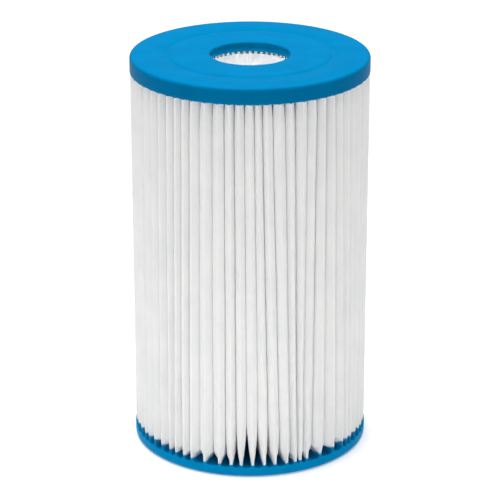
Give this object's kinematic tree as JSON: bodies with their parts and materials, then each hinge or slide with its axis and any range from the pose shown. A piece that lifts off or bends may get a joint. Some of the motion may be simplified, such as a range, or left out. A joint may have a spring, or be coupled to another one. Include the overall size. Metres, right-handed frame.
{
  "type": "pleated filter cartridge",
  "caption": "Pleated water filter cartridge: a ring of folded filter cloth cast into an end cap at each end, round a lattice core tube with an open bore from face to face.",
  "frame": {"origin": "centre of the bottom face, where the bore's axis meets the plane that the cartridge stands on", "axes": "+Z along the bore's axis, from the bottom end cap to the top end cap; the glued seam of the media faces +Y"},
  "size_m": [0.148, 0.148, 0.252],
  "materials": {
    "end_caps": "cast flexible resin, smooth satin blue",
    "core": "moulded white plastic, satin",
    "filter_cloth": "white spunbond polyester, matte, fibrous",
    "seam_glue": "set hot-melt glue, satin, off-white"
  },
  "bodies": {
    "root": {"top_end_cap": "end_caps", "bottom_end_cap": "end_caps", "core_tube": "core", "pleated_media": "filter_cloth", "media_seam": "seam_glue"}
  },
  "joints": []
}
